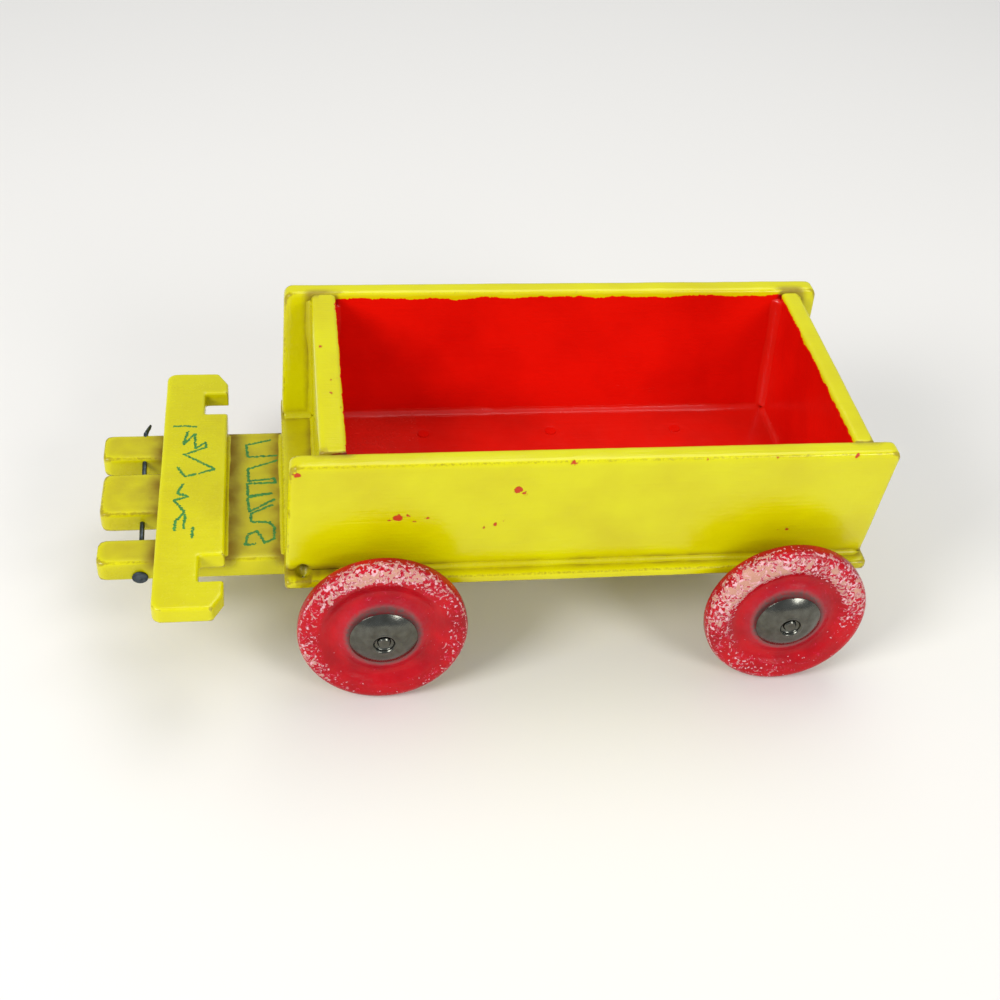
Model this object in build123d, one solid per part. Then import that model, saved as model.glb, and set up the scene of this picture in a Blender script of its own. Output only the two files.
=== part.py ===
from build123d import *
import math
import os

# Painted wooden toy wagon: a flared load box on a chassis plank, four turned
# wheels on two steel axles, a hooked crossbar and a slotted draw end at the
# front.  Millimetres.  The draw end points to -X, +Y is the right-hand side of a
# driver who faces it, +Z is up, and the wheels stand on z = 0.

os.makedirs("parts", exist_ok=True)

# ---------------------------------------------------------------- driving sizes
overall_length = 295.0        # finger tips to the rear ends of the side boards

wheel_radius = 32.0
wheel_base = 155.0            # axle to axle
rear_overhang = 32.9          # rear axle to the rear ends of the side boards
axle_diameter = 4.8

plank_width = 78.0
plank_thickness = 9.5
plank_rear_inset = 9.0        # the plank stops this far inside the rear end

floor_width = 114.2
floor_thickness = 4.5
floor_front_reveal = 0.4      # the floor board stands this far past the side boards

box_height = 55.0             # side boards, above the floor board
board_thickness = 8.0         # side boards, across
side_flare = 7.9              # degrees that each side board leans outwards
ledge_width = 5.6             # strip of floor board outside each side board
side_front_lean = 2.4         # top of a side board's front end behind its foot
side_rear_lean = 1.2          # top of its rear end behind its foot
side_corner_radius = 3.5
side_rim_radius = 1.6

head_setback = 12.9           # headboard behind the side boards' front ends
head_thickness = 10.0
tail_setback = 7.8            # tailboard ahead of the side boards' rear ends
tail_thickness = 8.0
tail_drop = 1.0               # tailboard's top under the side boards' tops
end_board_rim_radius = 1.8

crossbar_gap = 22.0           # crossbar's rear edge ahead of the box
crossbar_width = 25.7
crossbar_length = 143.6
crossbar_thickness = 7.0
crossbar_corner_radius = 4.0
crossbar_rim_radius = 1.2
notch_width = 13.5
notch_depth = 9.3
notch_offset = 50.2           # notch centre to the wagon's middle
hook_chamfer_along = 7.5      # sloped corner of each hook, along the crossbar
hook_chamfer_across = 4.0

finger_reach = 24.1           # finger tips ahead of the crossbar
right_slot_width = 9.0
left_slot_width = 14.4
middle_finger_width = 24.8
middle_finger_offset = 1.4    # middle finger's centre to the right of the middle
slot_under_crossbar = 13.0    # how far each slot runs back under the crossbar
middle_finger_cutback = 1.2   # the middle and left fingers are a little shorter
left_finger_cutback = 2.0
finger_corner_radius = 3.0
wood_edge_radius = 1.0

nail_hole_diameter = 5.0      # filled nail holes at the foot of the side boards
nail_hole_depth = 3.5
nail_hole_inset = 6.6         # behind the side boards' front ends

block_width = 22.0
block_height = 11.0
block_end_inset = 0.5         # block ends inside the floor board's edges

wheel_thickness = 8.0
wheel_boss_height = 6.2
wheel_boss_radius = 9.5
wheel_outer_round = 3.6
wheel_inner_round = 2.4
wheel_ring_width = 6.6        # raised ring round the outer face
wheel_dish_depth = 2.3
wheel_seat_drop = 0.4         # hub seat under the ring's face

cap_radius = 12.7
cap_height = 3.8
cap_wall = 0.8
cap_hole_radius = 4.0         # mouth of the dimple round the axle's end
cap_collar_depth = 2.6
axle_end_recess = 0.5         # axle's end under the cap's crown

hinge_nail_diameter = 2.0
hinge_nail_head_diameter = 7.0
hinge_nail_head_thickness = 0.9
hinge_nail_setback = 6.0      # nail ahead of the crossbar's front edge
hinge_nail_leg = 5.5          # bent-over far end
hinge_nail_stand = 1.4        # straight end past the plank before the bend

nail_diameter = 1.8
nail_head_diameter = 4.6
nail_head_thickness = 0.8
end_board_nail_length = 19.0
side_board_nail_length = 13.0
nail_tip_cover = 1.5          # wood left past the point of the other nails

# ------------------------------------------------------------------ clearances
axle_play = 0.10              # radial, wheel on axle and axle in its groove
axle_headroom = 0.30          # axle under the plank
end_play = 0.45               # wheel boss to axle block
cap_play = 0.30               # cap's rim to the hub seat
nail_play = 0.05              # radial, nails in their holes

# --------------------------------------------------------------- worked-out values
rear_x = overall_length / 2
tip_x = -overall_length / 2
crossbar_front_x = tip_x + finger_reach
crossbar_rear_x = crossbar_front_x + crossbar_width
box_front_x = crossbar_rear_x + crossbar_gap
box_length = rear_x - box_front_x
rear_axle_x = rear_x - rear_overhang
front_axle_x = rear_axle_x - wheel_base
axle_radius = axle_diameter / 2
axle_z = wheel_radius

plank_height = axle_z + axle_radius + axle_headroom
plank_top = plank_height + plank_thickness
floor_top = plank_top + floor_thickness
box_top = floor_top + box_height
flare_run = box_height * math.tan(math.radians(side_flare))
flare_slice = board_thickness / math.cos(math.radians(side_flare))

foot_outer_y = floor_width / 2 - ledge_width
foot_inner_y = foot_outer_y - flare_slice
rim_inner_y = foot_inner_y + flare_run

block_half_length = floor_width / 2 - block_end_inset
wheel_inner_y = block_half_length + end_play + wheel_boss_height
wheel_face_y = wheel_inner_y + wheel_thickness
cap_base_y = wheel_face_y - wheel_seat_drop + cap_play
axle_half_length = cap_base_y + cap_height - axle_end_recess


def box_between(x_range, y_range, z_range):
    """A rectangular block from its lowest and highest corners."""
    size = [pair[1] - pair[0] for pair in (x_range, y_range, z_range)]
    middle = [(pair[0] + pair[1]) / 2 for pair in (x_range, y_range, z_range)]
    return Pos(*middle) * Box(*size)


def wire_nail(x, y, head_z, length, upward, play=0.0):
    """A flat-headed nail whose head lies flush with the surface at head_z."""
    way = 1 if upward else -1
    head = Cylinder(nail_head_diameter / 2 + play, nail_head_thickness)
    shank = Cylinder(nail_diameter / 2 + play, length)
    return (
        Pos(x, y, head_z + way * nail_head_thickness / 2) * head
        + Pos(x, y, head_z + way * length / 2) * shank
    )


def nail_set(places, head_z, length, upward, play=0.0):
    """Nails at (x, y) places, as a list of separate solids."""
    return [wire_nail(x, y, head_z, length, upward, play) for x, y in places]


def drilled(body, *sets):
    """The body with every solid of the given sets cut out of it."""
    for tools in sets:
        for tool in tools:
            body = body - tool
    return body


def save(shape, name):
    """Write one node, as one solid or a group of separate solids."""
    if isinstance(shape, list):
        shape = Compound(children=[item.solid() for item in shape])
    export_step(shape, f"parts/{name}.step")


# ------------------------------------------------------------------- nail places
def nail_layout(play=0.0):
    """Every nail group of the wagon, as {name: list of solids}."""
    side_y = (foot_outer_y + foot_inner_y) / 2
    side_xs = [box_front_x + box_length * share for share in (0.16, 0.40, 0.63, 0.86)]
    head_x = box_front_x + head_setback + head_thickness / 2
    tail_x = rear_x - tail_setback - tail_thickness / 2
    end_ys = (-plank_width * 0.38, 0.0, plank_width * 0.38)
    floor_xs = [box_front_x + box_length * share for share in (0.26, 0.50, 0.74)]
    floor_y = plank_width * 0.38
    crossbar_x = crossbar_rear_x - (crossbar_width - slot_under_crossbar) / 2
    crossbar_y = plank_width * 0.30

    groups = {}
    for side, name in ((-1, "left"), (1, "right")):
        places = [(x, side * side_y) for x in side_xs]
        groups[f"{name}_side_board_nails"] = nail_set(
            places, plank_top, side_board_nail_length, True, play)
    groups["headboard_nails"] = nail_set(
        [(head_x, y) for y in end_ys], plank_top, end_board_nail_length, True, play)
    groups["tailboard_nails"] = nail_set(
        [(tail_x, y) for y in end_ys], plank_top, end_board_nail_length, True, play)
    groups["floor_board_nails"] = nail_set(
        [(x, y) for x in floor_xs for y in (-floor_y, floor_y)],
        floor_top, floor_thickness + plank_thickness - nail_tip_cover, False, play)
    groups["crossbar_nails"] = nail_set(
        [(crossbar_x, y) for y in (-crossbar_y, crossbar_y)],
        plank_height, plank_thickness + crossbar_thickness - nail_tip_cover, True, play)
    for axle_x, name in ((front_axle_x, "front"), (rear_axle_x, "rear")):
        block_xs = (axle_x - block_width * 0.32, axle_x + block_width * 0.32)
        places = [(x, y) for x in block_xs for y in (-plank_width / 4, plank_width / 4)]
        groups[f"{name}_axle_block_nails"] = nail_set(
            places, plank_height - block_height,
            block_height + plank_thickness - nail_tip_cover, True, play)
    return groups


nails = nail_layout()
nail_holes = nail_layout(nail_play)


# ----------------------------------------------------------------- chassis plank
def finger_edges():
    """The y of each finger edge, from the left-hand side to the right."""
    middle_low = middle_finger_offset - middle_finger_width / 2
    middle_high = middle_finger_offset + middle_finger_width / 2
    return (
        -plank_width / 2, middle_low - left_slot_width,
        middle_low, middle_high,
        middle_high + right_slot_width, plank_width / 2,
    )


def hinge_hole(play):
    """The cross hole through the three fingers."""
    hole_x = crossbar_front_x - hinge_nail_setback
    rod = Cylinder(hinge_nail_diameter / 2 + play, plank_width + 2)
    return Pos(hole_x, 0, plank_height + plank_thickness / 2) * Rot(90, 0, 0) * rod


def chassis_plank():
    """Full-length plank whose front is cut into three fingers."""
    edges = finger_edges()
    heel_x = crossbar_front_x + slot_under_crossbar
    plank = box_between(
        (heel_x, rear_x - plank_rear_inset),
        (-plank_width / 2, plank_width / 2), (plank_height, plank_top))
    plank = fillet(plank.edges().filter_by(Axis.X), wood_edge_radius)
    cutbacks = (left_finger_cutback, middle_finger_cutback, 0.0)
    for index, cutback in enumerate(cutbacks):
        low, high = edges[2 * index], edges[2 * index + 1]
        finger = box_between(
            (tip_x + cutback, heel_x), (low, high), (plank_height, plank_top))
        tip_corners = finger.edges().filter_by(Axis.Z).group_by(Axis.X)[0]
        corner = min(finger_corner_radius, (high - low) / 3)
        finger = fillet(tip_corners, corner)
        outer_edges = finger.edges().filter_by(Axis.X)
        finger = fillet(outer_edges, wood_edge_radius)
        plank = plank + finger
    plank = plank - hinge_hole(nail_play)
    return drilled(
        plank, nail_holes["floor_board_nails"], nail_holes["crossbar_nails"],
        nail_holes["front_axle_block_nails"], nail_holes["rear_axle_block_nails"])


# ------------------------------------------------------------------- floor board
def foot_nail_hole(side):
    """A slanting nail hole where a side board's foot meets the floor board."""
    hole = Cylinder(nail_hole_diameter / 2, 2 * nail_hole_depth)
    return (
        Pos(box_front_x + nail_hole_inset, side * foot_outer_y, floor_top)
        * Rot(-side * 45, 0, 0) * hole
    )


def floor_board():
    """Thin board, wider than the box, so that its edge shows as a ledge."""
    board = box_between(
        (box_front_x - floor_front_reveal, rear_x - floor_front_reveal),
        (-floor_width / 2, floor_width / 2), (plank_top, floor_top))
    board = fillet(board.edges().filter_by(Axis.Z), 1.5 * wood_edge_radius)
    top_edges = board.faces().sort_by(Axis.Z)[-1].edges()
    board = fillet(top_edges, wood_edge_radius)
    board = drilled(board, [foot_nail_hole(-1), foot_nail_hole(1)])
    return drilled(
        board, nail_holes["floor_board_nails"], nail_holes["headboard_nails"],
        nail_holes["tailboard_nails"], nail_holes["left_side_board_nails"],
        nail_holes["right_side_board_nails"])


# --------------------------------------------------------------------- box walls
def side_board(side, name):
    """A flared side board with rounded top corners and a rounded rim."""
    section = Plane.YZ * Polygon(
        (foot_inner_y, floor_top), (foot_outer_y, floor_top),
        (foot_outer_y + flare_run, box_top), (rim_inner_y, box_top), align=None)
    wall = Pos(box_front_x, 0, 0) * extrude(section, box_length, dir=(1, 0, 0))

    outline = Plane.XZ * Polygon(
        (box_front_x, floor_top), (rear_x - side_rear_lean, floor_top), (rear_x, box_top),
        (box_front_x + side_front_lean, box_top), align=None)
    outline = fillet(outline.vertices().group_by(Axis.Z)[-1], side_corner_radius)
    reach = foot_outer_y + flare_run + 5
    wall = wall & extrude(outline, reach, dir=(0, 1, 0))

    rim = wall.edges().filter_by(
        lambda edge: edge.center().Z > floor_top + 1 and not is_crosswise(edge))
    wall = fillet(rim, side_rim_radius)
    if side < 0:
        wall = mirror(wall, about=Plane.XZ)
    return drilled(
        wall, [foot_nail_hole(side)], nail_holes[f"{name}_side_board_nails"])


def is_crosswise(edge):
    """True for the short edges that run through a board's thickness."""
    box = edge.bounding_box().size
    return box.Y > 0.9 * board_thickness and box.X < 0.5 and box.Z < 3.0


def end_board(x_front, thickness, top, holes):
    """A headboard or tailboard that fills the box between the side boards."""
    rise = top - floor_top
    half_top = foot_inner_y + rise * math.tan(math.radians(side_flare))
    outline = Plane.YZ * Polygon(
        (-foot_inner_y, floor_top), (foot_inner_y, floor_top),
        (half_top, top), (-half_top, top), align=None)
    board = Pos(x_front, 0, 0) * extrude(outline, thickness, dir=(1, 0, 0))
    rim = board.faces().sort_by(Axis.Z)[-1].edges().filter_by(Axis.Y)
    board = fillet(rim, end_board_rim_radius)
    return drilled(board, holes)


# ---------------------------------------------------------------------- crossbar
def crossbar():
    """Flat bar with a notch near each end that leaves two hooks."""
    half = crossbar_length / 2
    notch_low = notch_offset - notch_width / 2
    notch_high = notch_offset + notch_width / 2
    hook_y = half - hook_chamfer_along
    right_half = [
        (crossbar_rear_x, notch_low),
        (crossbar_rear_x - notch_depth, notch_low),
        (crossbar_rear_x - notch_depth, notch_high),
        (crossbar_rear_x, notch_high),
        (crossbar_rear_x, hook_y),
        (crossbar_rear_x - hook_chamfer_across, half),
        (crossbar_front_x, half),
    ]
    left_half = [(x, -y) for x, y in reversed(right_half)]
    outline = Polygon(*right_half, *left_half, align=None)
    front_corners = outline.vertices().group_by(Axis.X)[0]
    outline = fillet(front_corners, crossbar_corner_radius)
    bar = Pos(0, 0, plank_top) * extrude(outline, crossbar_thickness)
    top_edges = bar.faces().sort_by(Axis.Z)[-1].edges()
    bar = fillet(top_edges, crossbar_rim_radius)
    return drilled(bar, nail_holes["crossbar_nails"])


# -------------------------------------------------------------------- hinge nail
def hinge_nail():
    """Long nail through the fingers: head on the left, clinched on the right."""
    nail_x = crossbar_front_x - hinge_nail_setback
    nail_z = plank_height + plank_thickness / 2
    half = plank_width / 2
    bend_y = half + hinge_nail_stand
    start = (nail_x, -half, nail_z)
    bend = (nail_x, bend_y, nail_z)
    tip = (nail_x + hinge_nail_leg * 0.45, bend_y + 0.6, nail_z + hinge_nail_leg * 0.9)
    radius = hinge_nail_diameter / 2
    shank = Plane(start, z_dir=(0, 1, 0)) * Cylinder(
        radius, bend_y + half, align=(Align.CENTER, Align.CENTER, Align.MIN))
    leg_way = Vector(*tip) - Vector(*bend)
    leg = Plane(bend, z_dir=leg_way) * Cylinder(
        radius, leg_way.length, align=(Align.CENTER, Align.CENTER, Align.MIN))
    head = Plane(start, z_dir=(0, -1, 0)) * Cylinder(
        hinge_nail_head_diameter / 2, hinge_nail_head_thickness,
        align=(Align.CENTER, Align.CENTER, Align.MIN))
    return shank + Pos(*bend) * Sphere(radius) + leg + head


# ----------------------------------------------------------------- running gear
def axle_block(axle_x, holes):
    """Cross block under the plank, grooved along its top for the axle."""
    block = box_between(
        (axle_x - block_width / 2, axle_x + block_width / 2),
        (-block_half_length, block_half_length),
        (plank_height - block_height, plank_height))
    lower_edges = block.faces().sort_by(Axis.Z)[0].edges()
    block = fillet(lower_edges, wood_edge_radius)
    half_groove = axle_radius + axle_play
    groove = box_between(
        (axle_x - half_groove, axle_x + half_groove),
        (-block_half_length - 1, block_half_length + 1),
        (axle_z - half_groove, plank_height + 1))
    return drilled(block - groove, holes)


def axle(axle_x):
    """Steel rod with eased ends."""
    rod = Cylinder(axle_radius, 2 * axle_half_length)
    rod = chamfer(rod.edges(), 0.4)
    return Pos(axle_x, 0, axle_z) * Rot(90, 0, 0) * rod


def turned(profile, axle_x, side):
    """Spin a closed profile of (radius, y) about the axle and put it in place."""
    solid = revolve(profile, Axis.Y)
    if side < 0:
        solid = mirror(solid, about=Plane.XZ)
    return Pos(axle_x, 0, axle_z) * solid


def wheel_profile():
    """Half section of a wheel: boss, rounded rim, raised ring, dish, hub seat."""
    bore = axle_radius + axle_play
    inner, face = wheel_inner_y, wheel_face_y
    seat = face - wheel_seat_drop
    ring_in = wheel_radius - wheel_outer_round - wheel_ring_width
    seat_r = cap_radius + 1.2
    dish_r = (ring_in + seat_r) / 2
    diagonal = 1 - math.sqrt(0.5)
    rim = Line((wheel_boss_radius + 1.5, inner), (wheel_radius - wheel_inner_round, inner))
    rim += ThreePointArc(
        (wheel_radius - wheel_inner_round, inner),
        (wheel_radius - wheel_inner_round * diagonal, inner + wheel_inner_round * diagonal),
        (wheel_radius, inner + wheel_inner_round))
    rim += Line((wheel_radius, inner + wheel_inner_round), (wheel_radius, face - wheel_outer_round))
    rim += ThreePointArc(
        (wheel_radius, face - wheel_outer_round),
        (wheel_radius - wheel_outer_round * diagonal, face - wheel_outer_round * diagonal),
        (wheel_radius - wheel_outer_round, face))
    rim += Line((wheel_radius - wheel_outer_round, face), (ring_in, face))
    rim += ThreePointArc((ring_in, face), (dish_r, face - wheel_dish_depth), (seat_r, seat))
    rim += Polyline((seat_r, seat), (bore, seat), (bore, inner - wheel_boss_height))
    rim += Polyline(
        (bore, inner - wheel_boss_height), (wheel_boss_radius, inner - wheel_boss_height),
        (wheel_boss_radius + 1.5, inner))
    return make_face(rim)


def cap_profile():
    """Half section of an axle cap: domed steel with a collar round the axle."""
    base = cap_base_y
    crown = base + cap_height
    inner_r = cap_radius - cap_wall
    shoulder = (cap_radius * 0.78, base + cap_height * 0.68)
    inner_shoulder = (inner_r * 0.76, base + (cap_height - cap_wall) * 0.66)
    lip_r = cap_hole_radius + 0.9
    collar_y = crown - cap_collar_depth
    skin = ThreePointArc((cap_radius, base), shoulder, (lip_r, crown))
    skin += Polyline((lip_r, crown), (cap_hole_radius, crown - 0.2))
    skin += Polyline((cap_hole_radius, crown - 0.2), (axle_radius, collar_y + cap_wall))
    skin += Polyline((axle_radius, collar_y + cap_wall), (axle_radius, collar_y - cap_wall))
    skin += Polyline((axle_radius, collar_y - cap_wall), (lip_r, crown - cap_wall))
    skin += ThreePointArc((lip_r, crown - cap_wall), inner_shoulder, (inner_r, base))
    skin += Line((inner_r, base), (cap_radius, base))
    return make_face(skin)


# ------------------------------------------------------------------------ output
save(chassis_plank(), "chassis_plank")
save(floor_board(), "floor_board")
save(crossbar(), "crossbar")
save(hinge_nail(), "hinge_nail")

for side, name in ((-1, "left"), (1, "right")):
    save(side_board(side, name), f"{name}_side_board")

save(
    end_board(
        box_front_x + head_setback, head_thickness, box_top,
        nail_holes["headboard_nails"]),
    "headboard")
save(
    end_board(
        rear_x - tail_setback - tail_thickness, tail_thickness, box_top - tail_drop,
        nail_holes["tailboard_nails"]),
    "tailboard")

for axle_x, end in ((front_axle_x, "front"), (rear_axle_x, "rear")):
    save(axle_block(axle_x, nail_holes[f"{end}_axle_block_nails"]), f"{end}_axle_block")
    save(axle(axle_x), f"{end}_axle")
    for side, name in ((-1, "left"), (1, "right")):
        save(turned(wheel_profile(), axle_x, side), f"{end}_{name}_wheel")
        save(turned(cap_profile(), axle_x, side), f"{end}_{name}_axle_cap")

for name, group in nails.items():
    save(group, name)
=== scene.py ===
# %% [markdown]
# # A painted wooden toy wagon
# The wagon is made of planed boards, nailed together, brushed with thick gloss
# enamel and worn by play.  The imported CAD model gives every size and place, and
# this script gives the boards their softened edges, waves and paint.  The frame
# is loaded first, because every piece made later is placed by it.

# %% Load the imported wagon
import math

import bmesh
import bpy
import numpy as np
from mathutils import Matrix, Vector
from mathutils.bvhtree import BVHTree


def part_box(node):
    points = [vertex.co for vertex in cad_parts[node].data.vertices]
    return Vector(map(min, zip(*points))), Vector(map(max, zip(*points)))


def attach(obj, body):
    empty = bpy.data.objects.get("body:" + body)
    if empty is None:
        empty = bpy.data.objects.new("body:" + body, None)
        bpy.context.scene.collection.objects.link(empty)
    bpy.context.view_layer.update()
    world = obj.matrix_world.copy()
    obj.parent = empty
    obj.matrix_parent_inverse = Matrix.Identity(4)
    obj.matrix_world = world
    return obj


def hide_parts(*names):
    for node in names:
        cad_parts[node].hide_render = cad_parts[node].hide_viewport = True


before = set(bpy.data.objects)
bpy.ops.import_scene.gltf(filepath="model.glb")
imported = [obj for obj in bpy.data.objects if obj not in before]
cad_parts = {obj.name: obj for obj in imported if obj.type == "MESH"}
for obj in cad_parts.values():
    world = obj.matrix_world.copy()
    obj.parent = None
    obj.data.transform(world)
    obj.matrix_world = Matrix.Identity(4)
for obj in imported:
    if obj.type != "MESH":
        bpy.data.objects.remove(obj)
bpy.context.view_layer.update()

MM = 0.001
node_box = {
    name: (np.array(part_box(name)[0]) / MM, np.array(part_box(name)[1]) / MM)
    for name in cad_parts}

# %% [markdown]
# ## Camera, floor and lamps
# The camera comes first, so that each later piece can be looked at as it is
# made.  It stands high on the wagon's left, a little behind the draw end, with a
# slightly long lens.  The floor is plain and pale, and three large soft lamps
# make the long gentle reflections that gloss paint shows.

# %% Camera
camera_data = bpy.data.cameras.new("studio_camera")
camera_data.sensor_width = 36.0
camera_data.lens = 53.04
camera_data.clip_start = 0.01
camera = bpy.data.objects.new("studio_camera", camera_data)
bpy.context.collection.objects.link(camera)

yaw, pitch, roll = (math.radians(a) for a in (10.52, -40.02, 5.18))
ahead = Vector(
    (math.sin(yaw) * math.cos(pitch), math.cos(yaw) * math.cos(pitch), math.sin(pitch)))
level = Vector((math.cos(yaw), -math.sin(yaw), 0.0))
rise = level.cross(ahead)
across = level * math.cos(roll) + rise * math.sin(roll)
upward = rise * math.cos(roll) - level * math.sin(roll)
turn = Matrix((across, upward, -ahead)).transposed().to_4x4()
camera.matrix_world = Matrix.Translation(Vector((-72.5, -453.0, 423.3)) * MM) @ turn
bpy.context.scene.camera = camera
print("camera at", [round(v, 3) for v in camera.matrix_world.translation])

# %% Floor, lamps and sky
def srgb(code):
    """A hex colour as the linear colour that the shaders use."""
    values = [int(code[i:i + 2], 16) / 255 for i in (1, 3, 5)]
    return [v / 12.92 if v <= 0.04045 else ((v + 0.055) / 1.055) ** 2.4 for v in values] + [1.0]


def add(tree, kind, inputs=None, **settings):
    """Adds a node, sets its properties, and sets or links its inputs, counting those in use."""
    node = tree.nodes.new(kind)
    for name, value in settings.items():
        setattr(node, name, value)
    live = [s for s in node.inputs if s.enabled]
    for key, value in (inputs or {}).items():
        socket = live[key] if isinstance(key, int) else next(s for s in live if s.name == key)
        if isinstance(value, bpy.types.Node):
            value = next(s for s in value.outputs if s.enabled)
        if isinstance(value, bpy.types.NodeSocket):
            tree.links.new(value, socket)
        else:
            socket.default_value = value
    return node


def new_material(name):
    """An empty node material with its output and a Principled shader."""
    material = bpy.data.materials.new(name)
    material.use_nodes = True
    tree = material.node_tree
    tree.nodes.clear()
    shader = add(tree, "ShaderNodeBsdfPrincipled")
    add(tree, "ShaderNodeOutputMaterial", {"Surface": shader})
    return material, tree, shader


def in_millimetres(tree):
    """The place on the piece in millimetres, so that a pattern's scale is a real size."""
    return add(tree, "ShaderNodeVectorMath",
               {0: add(tree, "ShaderNodeTexCoord").outputs["Object"], "Scale": 1 / MM},
               operation="SCALE")


def dress(tree, shader, coat, rough, height, depth=MM, strength=1.0):
    """Links a material's colour, roughness and bump to its shader."""
    bump = add(tree, "ShaderNodeBump", {"Height": height, "Distance": depth, "Strength": strength})
    for name, node in (("Base Color", coat), ("Roughness", rough), ("Normal", bump)):
        tree.links.new(next(s for s in node.outputs if s.enabled), shader.inputs[name])


floor_material, _, shader = new_material("studio_floor")
shader.inputs["Base Color"].default_value = srgb("#E4E0DA")
shader.inputs["Roughness"].default_value = 0.9
floor_mesh = bpy.data.meshes.new("studio_floor")
floor_mesh.from_pydata([(-4, -4, 0), (4, -4, 0), (4, 4, 0), (-4, 4, 0)], [], [(0, 1, 2, 3)])
studio_floor = bpy.data.objects.new("studio_floor", floor_mesh)
bpy.context.collection.objects.link(studio_floor)
floor_mesh.materials.append(floor_material)

AIM = Vector((0.0, 0.0, 0.05))
LAMPS = {  # place in metres, side in metres, watts
    "window_lamp": ((-1.05, -0.72, 0.92), 0.6, 15.5),
    "ceiling_lamp": ((0.25, 0.45, 1.25), 0.9, 7.0),
    "room_lamp": ((0.75, -1.05, 0.75), 0.5, 8.0),
}
for name, (place, side, watts) in LAMPS.items():
    lamp = bpy.data.lights.new(name, "AREA")
    lamp.size, lamp.energy = side, watts
    lamp_object = bpy.data.objects.new(name, lamp)
    bpy.context.collection.objects.link(lamp_object)
    aim_line = AIM - Vector(place)
    lamp_object.matrix_world = (
        Matrix.Translation(place) @ aim_line.to_track_quat("-Z", "Y").to_matrix().to_4x4())

world = bpy.data.worlds.new("studio_sky")
world.use_nodes = True
sky = world.node_tree.nodes["Background"]
sky.inputs["Color"].default_value = srgb("#DDE4EC")
sky.inputs["Strength"].default_value = 0.58
bpy.context.scene.world = world
bpy.context.scene.view_settings.view_transform = "Standard"
print("lamps:", list(LAMPS))

# %% [markdown]
# ## Gloss enamel on wood
# Oil enamel is brushed on thick.  It stays glossy, keeps faint brush marks and a
# slight orange peel, pools in corners, thins on edges and chips off in flakes.
# It could be painted in an image, but then it would have one fixed sharpness, so
# each board stores smooth distances on its points instead, such as how far a
# point is from a corner or from the line where yellow meets red.  The material
# adds fine noise to a distance and cuts it at zero, which gives a crisp, ragged
# edge at any zoom.

# %% Two-colour enamel
YELLOW = {"fresh": "#D3CD00", "thin": "#C9BE00", "rubbed_and_highlight": "#E6DF4A",
          "grime_and_shade": "#7A5A10", "dust_and_sheen": "#86680A"}
RED = {"fresh": "#DC1004", "thin": "#C80A02", "rubbed_and_highlight": "#E8503A",
       "grime_and_shade": "#5E0604", "dust_and_sheen": "#A0402E"}
BARE_WOOD, UNDERCOAT = "#8A4E22", "#C03606"
FAR = 9.0                    # millimetres: a distance that the paint takes as far away


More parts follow.
